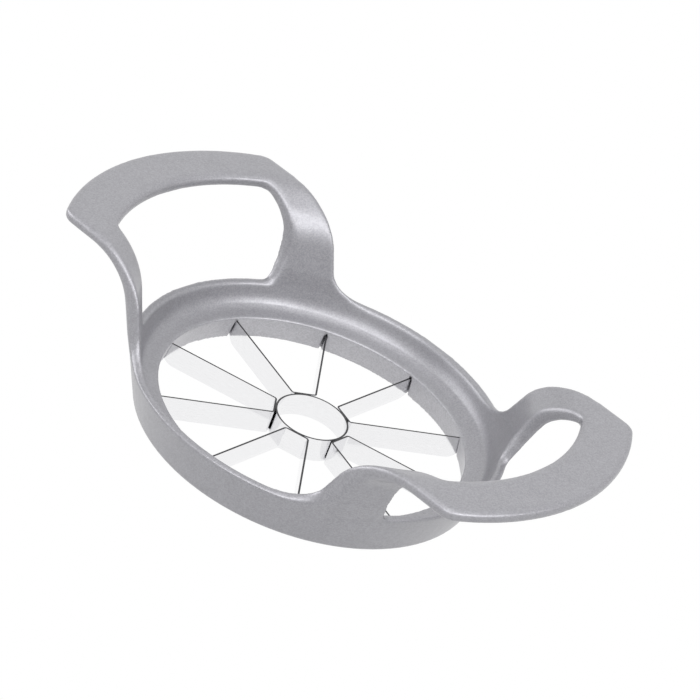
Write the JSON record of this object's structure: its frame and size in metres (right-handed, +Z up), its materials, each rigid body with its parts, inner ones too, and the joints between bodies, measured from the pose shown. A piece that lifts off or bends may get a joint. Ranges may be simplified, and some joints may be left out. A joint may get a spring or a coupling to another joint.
{
  "type": "apple slicer wedger press",
  "caption": "Hand press that cores and wedges an apple: cast ring with two raised loop handles, radial steel blades and a core ring.",
  "frame": {"origin": "centre of the core ring, on the plane of the blades' lower edges", "axes": "+Z up along the cut, towards the hands; +X along the two handles"},
  "size_m": [0.19, 0.124, 0.0464],
  "materials": {
    "cast_aluminium": "satin, fine sand-cast sparkle",
    "polished_steel": "bright polished"
  },
  "bodies": {
    "root": {"frame_casting": "cast_aluminium", "core_ring": "polished_steel", "blade_pair_1": "polished_steel", "blade_pair_2": "polished_steel", "blade_pair_3": "polished_steel", "blade_pair_4": "polished_steel", "blade_pair_5": "polished_steel"}
  },
  "joints": []
}
